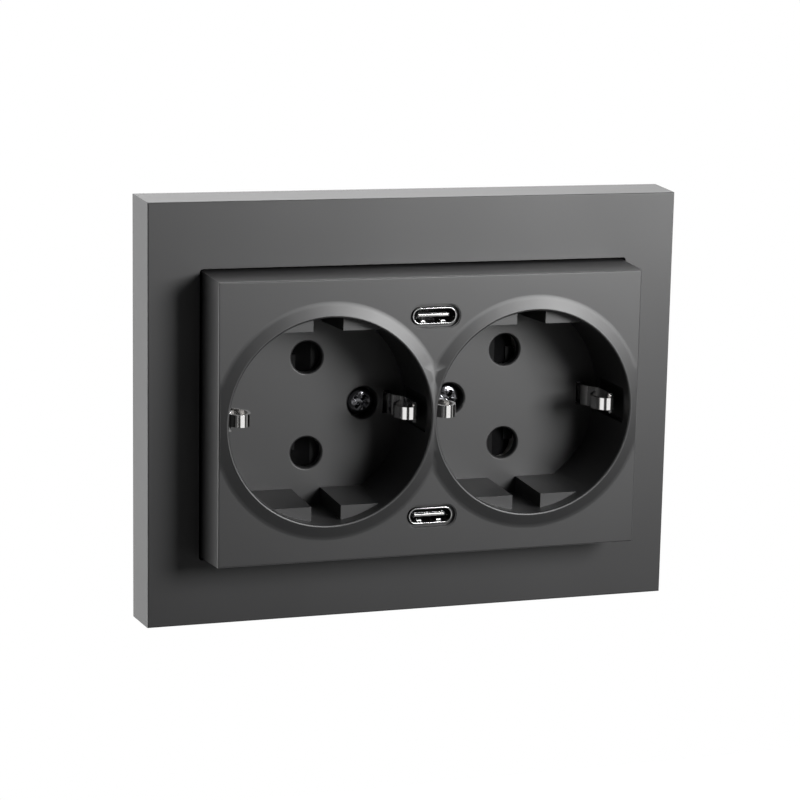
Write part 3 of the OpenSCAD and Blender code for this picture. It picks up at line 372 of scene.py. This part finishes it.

# %% [markdown]
# The clips are sheared from sheet, and the cut ends of their legs, beside the narrower finger, are dull. A
# mask from the place on the strip picks these ends, beyond the leg's end and off the finger. There it
# raises the roughness, for the dull cut, and takes the metal's colour down to grey, which is painted shade
# on those ends. They could be faces with a material of their own, but the mask is simpler.

# %% Dull the sheared ends of the legs, and paint shade on them
leg_end_y = -15.9 * mm
finger_middle_z, finger_reach = 0.4 * mm, 1.25 * mm
# higher roughness for the dull cut; the grey colour is painted shade on the leg ends
dull_and_shade_values = (("Roughness", "FLOAT", 0.5), ("Base Color", "RGBA", (0.25, 0.25, 0.25, 1)))
strip_tree = finishes["earth_strip"].node_tree
strip_shader = strip_tree.nodes["Principled BSDF"]
on_strip = add_node(strip_tree, "TexCoord", {})
strip_place = add_node(strip_tree, "SeparateXYZ", {0: on_strip.outputs["Object"]})
beyond_leg = math_of(strip_tree, "LESS_THAN", strip_place.outputs["Y"], leg_end_y)
on_finger = math_of(strip_tree, "COMPARE", strip_place.outputs["Z"], finger_middle_z, finger_reach)
# mask of the leg ends, which are dulled and get painted shade
dulled_and_shaded = math_of(strip_tree, "SUBTRACT", beyond_leg, on_finger, clamp=True)
for socket, kind, end_value in dull_and_shade_values:
    bright = strip_shader.inputs[socket].links[0].from_socket
    blend = add_node(strip_tree, "Mix", {"Factor": dulled_and_shaded, "A": bright, "B": end_value}, data_type=kind)
    strip_tree.links.new(blend.outputs["Result"], strip_shader.inputs[socket])
print("sheared ends masked beyond y =", leg_end_y)

# %% [markdown]
# The record names a material slot for each CAD node, and each slot has one finish here. A node's mesh stays
# as it is: only the material on it is set.

# %% Give each CAD node its finish
slots_of = {entry["node"]: entry["material_slot"] for entry in frame["record"]["subparts"]}
for name, node in nodes.items():
    finish = finishes[slots_of[name]]
    if not node.material_slots:
        node.data.materials.append(finish)
    for holder in node.material_slots:
        holder.material = finish
print(len(set(slots_of.values())), "slots on", len(nodes), "nodes")

# %% [markdown]
# ## Rounded edges
#
# No moulded or stamped edge is truly sharp: a mould's corner leaves a round of one or two tenths of a
# millimetre, and that is what draws the thin bright lines round the insert and the guide blocks. The CAD
# solids have sharp edges, so each visible one is copied and merged into one skin, and the edges in sight
# that turn by a clear angle are beveled. A Bevel modifier on the whole piece would be shorter, but it also
# works on the hidden edges, and the smallest of them holds its width down. The shading is then smoothed
# with the flat faces leading, or the large faces would show false gradients. The round could be faked in
# the material too, but then the exported mesh would stay sharp.


# %% Helpers for copies
def only(*pieces):
    """Selects these objects and nothing else, the first one active."""
    bpy.ops.object.select_all(action="DESELECT")
    for piece in pieces:
        piece.select_set(True)
    bpy.context.view_layer.objects.active = pieces[0]


def own_copy(name, new_name):
    """A copy of a CAD node with its own mesh, merged into one skin."""
    piece = nodes[name].copy()
    piece.data = nodes[name].data.copy()
    piece.name = new_name
    piece.parent = None
    for key in list(piece.keys()):
        del piece[key]
    bpy.context.scene.collection.objects.link(piece)
    only(piece)
    bpy.ops.mesh.customdata_custom_splitnormals_clear()
    bpy.ops.object.mode_set(mode="EDIT")
    bpy.ops.mesh.select_all(action="SELECT")
    bpy.ops.mesh.remove_doubles(threshold=0.002 * mm)
    bpy.ops.mesh.dissolve_limited(angle_limit=math.radians(0.4))
    bpy.ops.object.mode_set(mode="OBJECT")
    return piece


def stands_for(piece, name):
    """The piece rides with the CAD node that it replaces and keeps its material slot."""
    body = nodes[name]["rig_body"]
    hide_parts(name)
    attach(piece, body)


# %% Helpers for rounding
def pick_edges(piece, angle, chosen):
    """Selects the edges that turn by more than angle and whose middle is chosen."""
    only(piece)
    bpy.ops.object.mode_set(mode="EDIT")
    bpy.ops.mesh.select_mode(type="EDGE")
    bpy.ops.mesh.select_all(action="DESELECT")
    bpy.ops.mesh.edges_select_sharp(sharpness=math.radians(angle))
    bpy.ops.object.mode_set(mode="OBJECT")
    points = piece.data.vertices
    count = 0
    for edge in piece.data.edges:
        if edge.select:
            first, second = (points[i].co for i in edge.vertices)
            edge.select = chosen((first + second) / 2 / mm)
            count += edge.select
    for point in points:
        point.select = False
    for face in piece.data.polygons:
        face.select = False
    bpy.ops.object.mode_set(mode="EDIT")
    return count


def round_edges(piece, width, angle, chosen, segments=3):
    """Rounds the chosen edges of a piece by width, in millimetres."""
    count = pick_edges(piece, angle, chosen)
    bpy.ops.mesh.bevel(offset=width * mm, segments=segments, profile=0.5, clamp_overlap=True)
    bpy.ops.object.mode_set(mode="OBJECT")
    return count


def smooth_over(piece):
    """Smooths the shading over the rounds and keeps flat faces flat, by weighting them by area."""
    only(piece)
    bpy.ops.object.shade_smooth_by_angle(angle=math.radians(36))
    weighted = piece.modifiers.new("flat_faces_lead", "WEIGHTED_NORMAL")
    weighted.weight = 90
    weighted.keep_sharp = True
    bpy.ops.object.modifier_apply(modifier=weighted.name)


def soften_edges(name, width, chosen):
    """Replaces a CAD node by a copy whose chosen sharp edges are rounded."""
    piece = own_copy(name, name + "_rounded")
    count = round_edges(piece, width, 40, chosen)
    smooth_over(piece)
    stands_for(piece, name)
    print(name, count, "edges rounded,", len(piece.data.polygons), "faces")


def everywhere(middle):
    """A test that is true for every edge."""
    return True


def front_of(y):
    """A test that is true for an edge nearer than y, in millimetres."""
    return lambda middle: middle.y < y


# %% Round the edges of the frame, the well floors, the ports' shells and the parts behind
soften_edges("cover_frame", 0.22, front_of(-0.5))
for name in ("well_floor_left", "well_floor_right"):
    soften_edges(name, 0.1, front_of(-4.5))
for name in ("usb_shell_top", "usb_shell_bottom"):
    soften_edges(name, 0.1, front_of(-20.6))
for name in ("support_plate", "rear_housing", "housing_back", "housing_screws"):
    soften_edges(name, 0.12, everywhere)

# %% [markdown]
# ## The insert
#
# The rims round the wells are shallow cones that run out into the flat front in a soft hollow, and at the
# mouth they turn into the well over a small round. Both turns matter: the first blurs the crescents'
# outer border, and the second draws the bright line along the lower half of each mouth, because somewhere
# on the round the surface mirrors the key lamp. The cones' outer circles turn by less than 20 degrees, so
# they are picked by their place, and get a wider round than the rest.

# %% Where the insert's edges lie
face_level = -21.1
floor_level = -4.75
well_x = 20.57
run_out_radius = 22.75
mouth_radius = 20.5


def from_axis(middle):
    """Distance of an edge's middle from the axis of its well."""
    return math.hypot(abs(middle.x) - well_x, middle.z)


def on_run_out(middle):
    """True for an edge on the outer circle of a rim."""
    return abs(middle.y - face_level) < 0.03 and abs(from_axis(middle) - run_out_radius) < 0.12


def on_mouth(middle):
    """True for an edge where a rim turns into its well."""
    return middle.y < face_level - 0.3 and from_axis(middle) < mouth_radius


def off_mouth(middle):
    """True for an edge in sight that isn't at a well's mouth."""
    return middle.y < floor_level and not on_mouth(middle)


# %% The insert's rounds
insert = own_copy("socket_cover", "socket_cover_rounded")
soft = round_edges(insert, 0.5, 8, on_run_out, segments=4)
mouth = round_edges(insert, 0.22, 30, on_mouth, segments=4)
sharp = round_edges(insert, 0.2, 36, off_mouth)
smooth_over(insert)
stands_for(insert, "socket_cover")
print("insert:", soft, "edges run out softly,", mouth, "at the mouths,", sharp, "others")
print("insert:", len(insert.data.polygons), "faces")

# %% [markdown]
# ## Earth clips
#
# Each clip is a strip of nickel-plated steel, bent over like a barrel so that a plug's side contact slides
# on it. The CAD strip already has the bends as many short flats. Its copy gets smooth shading across them
# and rounded borders, so the barrel mirrors the studio in bands: the two white cards, and the dark room
# between them. The borders are long and even, so here a Bevel modifier does it.

# %% Smooth the earth strips
for name in ("earth_strap_left", "earth_strap_right"):
    strap = own_copy(name, name + "_rounded")
    bpy.ops.object.shade_smooth_by_angle(angle=math.radians(34))
    borders = strap.modifiers.new("round_borders", "BEVEL")
    borders.limit_method = "ANGLE"
    borders.angle_limit = math.radians(60)
    borders.width = 0.08 * mm
    borders.segments = 2
    borders.harden_normals = True
    bpy.ops.object.modifier_apply(modifier=borders.name)
    stands_for(strap, name)
    print(name, len(strap.data.polygons), "faces")

# %% [markdown]
# ## Pieces that Blender adds
#
# Some pieces are too fine for the CAD model, or look better when they are shaped here: a turned and punched
# screw, the inside of a port, a wound spring. The helpers work as a workshop does: turn a blank or cut a
# block, wind a wire, join or cut one solid with another, and copy what repeats.


# %% Helpers for blanks
def settle(piece):
    """Moves an object's place, turn and size into its mesh, so that its origin is the frame's."""
    only(piece)
    bpy.ops.object.transform_apply(location=True, rotation=True, scale=True)
    return piece


def turned(name, stations, sides=40):
    """A closed solid turned about the Y axis, from (radius, y) stations in millimetres."""
    radius, y = stations[0]
    bpy.ops.object.select_all(action="DESELECT")
    bpy.ops.mesh.primitive_circle_add(
        vertices=sides,
        radius=radius * mm,
        fill_type="NGON",
        location=(0, y * mm, 0),
        rotation=(math.radians(90), 0, 0),
    )
    piece = settle(bpy.context.object)
    piece.name = name
    bpy.ops.object.mode_set(mode="EDIT")
    bpy.ops.mesh.select_all(action="SELECT")
    for next_radius, next_y in stations[1:]:
        step = {"value": (0, (next_y - y) * mm, 0)}
        bpy.ops.mesh.extrude_region_move(TRANSFORM_OT_translate=step)
        share = next_radius / radius
        bpy.ops.transform.resize(value=(share, 1, share), center_override=(0, next_y * mm, 0))
        radius, y = next_radius, next_y
    bpy.ops.mesh.select_all(action="SELECT")
    bpy.ops.mesh.normals_make_consistent(inside=False)
    bpy.ops.object.mode_set(mode="OBJECT")
    return piece


def block(name, low, high):
    """A box between two corners in millimetres, a start for cutters and small parts."""
    low, high = Vector(low), Vector(high)
    bpy.ops.object.select_all(action="DESELECT")
    bpy.ops.mesh.primitive_cube_add(size=1, location=(low + high) / 2 * mm)
    piece = bpy.context.object
    piece.name = name
    piece.scale = (high - low) * mm
    return settle(piece)


def wind_up(outline, axis, pitch, turns, steps):
    """Winds a closed outline into a coil with capped ends; pitch is in millimetres a turn."""
    only(outline)
    wind = outline.modifiers.new("wind", "SCREW")
    wind.axis = axis
    wind.steps = wind.render_steps = steps
    wind.screw_offset = pitch * mm
    wind.iterations = turns
    bpy.ops.object.modifier_apply(modifier=wind.name)
    bpy.ops.object.mode_set(mode="EDIT")
    bpy.ops.mesh.select_all(action="SELECT")
    bpy.ops.mesh.remove_doubles(threshold=0.001 * mm)
    bpy.ops.mesh.fill_holes(sides=0)
    bpy.ops.mesh.select_all(action="SELECT")
    bpy.ops.mesh.normals_make_consistent(inside=False)
    bpy.ops.object.mode_set(mode="OBJECT")


# %% Helpers for joining, placing and dressing
def combine(piece, other, how):
    """Joins or cuts a piece with another solid, which is used up."""
    only(piece)
    change = piece.modifiers.new("combine", "BOOLEAN")
    change.operation = how
    change.solver = "EXACT"
    change.object = other
    bpy.ops.object.modifier_apply(modifier=change.name)
    bpy.data.objects.remove(other, do_unlink=True)


def move_piece(piece, offset):
    """Moves a piece's mesh by an offset in millimetres and leaves its origin where it is."""
    only(piece)
    piece.location = Vector(offset) * mm
    bpy.ops.object.transform_apply(location=True, rotation=False, scale=False)


def own_twin(piece, name):
    """A copy with its own mesh."""
    twin = piece.copy()
    twin.data = piece.data.copy()
    twin.name = name
    bpy.context.scene.collection.objects.link(twin)
    return twin


def dress(piece, slot):
    """Gives a new piece its finish and material slot, and fixes it to the device."""
    piece.data.materials.clear()
    piece.data.materials.append(finishes[slot])
    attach(piece, "device")


# %% [markdown]
# ## The web between the wells
#
# The windows of the two inner clips face each other through the thin web. A leaf between them keeps one
# clip out of sight of the other, so each window stays dark, as it does in the photograph. It is part of the
# insert's moulding, so it has the insert's plastic. It could be in the CAD insert, but a wall this thin
# would keep that solid from being checked well.

# %% Close the gap between the two wells
leaf_low, leaf_high = (-0.22, -18.95, -3.6), (0.22, -4.5, 3.6)
leaf = block("web_leaf", leaf_low, leaf_high)
bpy.ops.object.mode_set(mode="EDIT")
bpy.ops.mesh.select_all(action="SELECT")
bpy.ops.mesh.bevel(offset=0.08 * mm, segments=2, profile=0.5)
bpy.ops.object.mode_set(mode="OBJECT")
smooth_over(leaf)
dress(leaf, "cover_plastic")
print("leaf:", len(leaf.data.polygons), "faces")

# %% [markdown]
# ## Cover screws
#
# A pan-head screw holds each half of the insert. Its head sits deep in a dark recess, so only the cross and
# the dome catch light. Its zinc is also given a dark colour, which is painted shade of that recess. It is
# turned like on a lathe: a circle is extruded and scaled from station to station along the axis. The cross
# is then cut by a tapered cutter, as the real one is stamped by a punch. A bump map could draw the cross,
# but its walls make the sharp glints.


# %% Turn one cover screw
head_front = -3.3
seat = -1.0
shank_radius = 1.26
head_radius = 2.85
screw = turned(
    "cover_screw",
    [
        (0.95, 5.0),
        (shank_radius, 4.5),
        (shank_radius, seat),
        (head_radius, seat),
        (head_radius, seat - 1.3),
        (2.78, seat - 1.6),
        (2.6, seat - 1.85),
        (2.3, seat - 2.05),
        (1.8, seat - 2.2),
        (1.0, seat - 2.28),
        (0.3, head_front),
    ],
)
print("screw blank:", len(screw.data.polygons), "faces")


# %% Punch the cross and its fine marks
def punch(length, width, depth, turn, taper):
    """A tapered cutter across the head, turned about the Y axis."""
    bottom = head_front + depth
    cutter = block("punch", (-length / 2, head_front - 1, -width / 2), (length / 2, bottom, width / 2))
    bpy.ops.object.mode_set(mode="EDIT")
    bpy.ops.mesh.select_all(action="DESELECT")
    bpy.ops.object.mode_set(mode="OBJECT")
    for face in cutter.data.polygons:
        face.select = face.normal.y > 0.9
    bpy.ops.object.mode_set(mode="EDIT")
    bpy.ops.transform.resize(value=(taper, 1, 0.8), center_override=(0, bottom * mm, 0))
    bpy.ops.object.mode_set(mode="OBJECT")
    cutter.rotation_euler = (0, math.radians(turn), 0)
    return settle(cutter)


cross_turn = 38
for turn in (cross_turn, cross_turn + 90):
    combine(screw, punch(length=4.3, width=0.85, depth=1.7, turn=turn, taper=0.45), "DIFFERENCE")
for turn in (cross_turn + 45, cross_turn + 135):
    combine(screw, punch(length=3.4, width=0.22, depth=0.4, turn=turn, taper=0.8), "DIFFERENCE")
cut = round_edges(screw, 0.07, 38, front_of(seat - 0.4), segments=2)
print("cross:", cut, "edges rounded,", len(screw.data.polygons), "faces")

# %% Roll the thread
bpy.ops.object.select_all(action="DESELECT")
bpy.ops.mesh.primitive_circle_add(
    vertices=3,
    radius=0.26 * mm,
    fill_type="NOTHING",
    location=(1.24 * mm, 0, 0),
    rotation=(0, 0, math.radians(-90)),
)
thread = settle(bpy.context.object)
wind_up(thread, "Y", pitch=0.7, turns=7, steps=20)
move_piece(thread, (0, -0.6, 0))
only(screw, thread)
bpy.ops.object.join()
bpy.ops.object.shade_smooth_by_angle(angle=math.radians(35))
print("screw with thread:", len(screw.data.polygons), "faces")

# %% Place both screws
screw_x = 9.04
other_screw = own_twin(screw, "cover_screw_right_turned")
screw.name = "cover_screw_left_turned"
for piece, x, name in ((screw, -screw_x, "cover_screw_left"), (other_screw, screw_x, "cover_screw_right")):
    dress(piece, "screw_steel")
    move_piece(piece, (x, 0, 0))
    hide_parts(name)
    low, high = (Vector(c) / mm for c in (piece.bound_box[0], piece.bound_box[6]))
    print(piece.name, [round(v, 2) for v in low], [round(v, 2) for v in high])

# %% [markdown]
# ## Charging ports
#
# Each port is a drawn metal shell with a thin tongue in its middle. The tongue is moulded round a steel
# plate, which shows at its front edge, and carries twelve contacts on each face. They look grey in the
# photograph, so they get plain bright steel here. The tongue is the pale bar in the middle of the dark
# slot. One port is modelled and copied to the other.

# %% Mould one tongue
port_z = 19.58
board_front = -12.4
tongue_front = -19.9
base_x, base_z = 4.17, 1.33
tongue_x, tongue_z = 3.35, 0.35
tongue_body = block("port_base", (-base_x, board_front - 2.4, -base_z), (base_x, board_front, base_z))
corners = pick_edges(tongue_body, 60, lambda middle: abs(middle.x) > 4 and abs(middle.z) > 1.2)
bpy.ops.mesh.bevel(offset=1.3 * mm, segments=6, profile=0.5, clamp_overlap=True)
bpy.ops.object.mode_set(mode="OBJECT")
tongue_low = (-tongue_x, tongue_front + 0.12, -tongue_z)
tongue = block("port_tongue", tongue_low, (tongue_x, board_front - 1.2, tongue_z))
round_edges(tongue, 0.25, 60, lambda middle: abs(middle.x) > 3.3 and middle.y < tongue_front + 0.2)
combine(tongue_body, tongue, "UNION")
round_edges(tongue_body, 0.06, 50, front_of(-14.7), segments=2)
bpy.ops.object.shade_smooth_by_angle(angle=math.radians(35))
print("tongue:", len(tongue_body.data.polygons), "faces,", corners, "corners rounded")

# %% Its steel plate, and the ground plate with two spring tabs
mid_plate = block("port_plate", (-3.1, tongue_front, -0.24), (3.1, tongue_front + 2.2, 0.24))
round_edges(mid_plate, 0.08, 60, everywhere)
ground_plate = block("port_ground", (-3.42, -16.6, -0.42), (3.42, -14.7, 0.42))
round_edges(ground_plate, 0.07, 60, everywhere)
for tab_x in (-2.0, 2.0):
    spring_tab = block("port_tab", (tab_x - 0.5, -19.6, -1.27), (tab_x + 0.5, -16.5, -1.02))
    round_edges(spring_tab, 0.1, 60, everywhere)
    combine(ground_plate, spring_tab, "UNION")
print("plates:", len(mid_plate.data.polygons), "and", len(ground_plate.data.polygons), "faces")

# %% Its contacts: twelve in a row, and the same row under the tongue
first_x, half_width, contact_pitch = -2.75, 0.14, 0.5
row_drop = 0.70
contact_low = (first_x - half_width, tongue_front + 0.6, 0.30)
contact = block("port_contact", contact_low, (first_x + half_width, -16.5, 0.40))
round_edges(contact, 0.03, 60, lambda middle: middle.z > 0.35, segments=2)
for count, offset in ((12, (contact_pitch * mm, 0, 0)), (2, (0, 0, -row_drop * mm))):
    row = contact.modifiers.new("row", "ARRAY")
    row.count = count
    row.use_relative_offset = False
    row.use_constant_offset = True
    row.constant_offset_displace = offset
    bpy.ops.object.modifier_apply(modifier=row.name)
print("contacts:", len(contact.data.polygons), "faces")

# %% Set both ports in place
port_kit = [
    (tongue_body, "port_insulator", "usb_tongue", True),
    (mid_plate, "port_shell", "port_mid_plate", False),
    (ground_plate, "port_shell", "port_ground_plate", False),
    (contact, "spring_steel", "port_contacts", False),
]
for piece, slot, stem, replaces_node in port_kit:
    for place, sign in (("top", 1), ("bottom", -1)):
        copy = own_twin(piece, stem + "_" + place + "_moulded")
        dress(copy, slot)
        move_piece(copy, (0, 0, sign * port_z))
        if replaces_node:
            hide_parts(stem + "_" + place)
    bpy.data.objects.remove(piece, do_unlink=True)
print("ports:", 2 * len(port_kit), "pieces")

# %% [markdown]
# ## Return springs
#
# Behind each shutter blade sits a compression spring of steel wire. In the real device the shutter pushes
# its outer end towards the device's middle, so the spring is anchored at its inner end and squashed along X
# as the shutter slides. Here the coil is wound at rest and fixed to the device. A Screw modifier winds a
# small circle into the coil, and the ends are capped. A curve with a thick line would do too, but the coil
# would then have to be turned into a mesh.

# %% Wind the springs
spring_low, spring_high = (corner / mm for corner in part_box("shutter_spring_right_top"))
spring_radius = 1.3
wire_radius = 0.16
hole_z = 9.5
turns = 6
coil_radius = spring_radius - wire_radius
pitch = (spring_high.x - spring_low.x - 2 * wire_radius) / turns
middle_y = (spring_low.y + spring_high.y) / 2
for side, sign in (("left", -1), ("right", 1)):
    start = (spring_low.x if sign > 0 else -spring_high.x) + wire_radius
    for place, z in (("top", hole_z), ("bottom", -hole_z)):
        bpy.ops.object.select_all(action="DESELECT")
        bpy.ops.mesh.primitive_circle_add(
            vertices=10,
            radius=wire_radius * mm,
            location=(0, 0, coil_radius * mm),
            rotation=(math.radians(90), 0, 0),
        )
        spring = settle(bpy.context.object)
        spring.name = "shutter_spring_" + side + "_" + place + "_wound"
        wind_up(spring, "X", pitch, turns, steps=24)
        bpy.ops.object.shade_smooth_by_angle(angle=math.radians(45))
        move_piece(spring, (start, middle_y, z))
        dress(spring, "spring_steel")
        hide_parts("shutter_spring_" + side + "_" + place)
        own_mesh(spring)
        print(spring.name, len(spring.data.polygons), "faces")
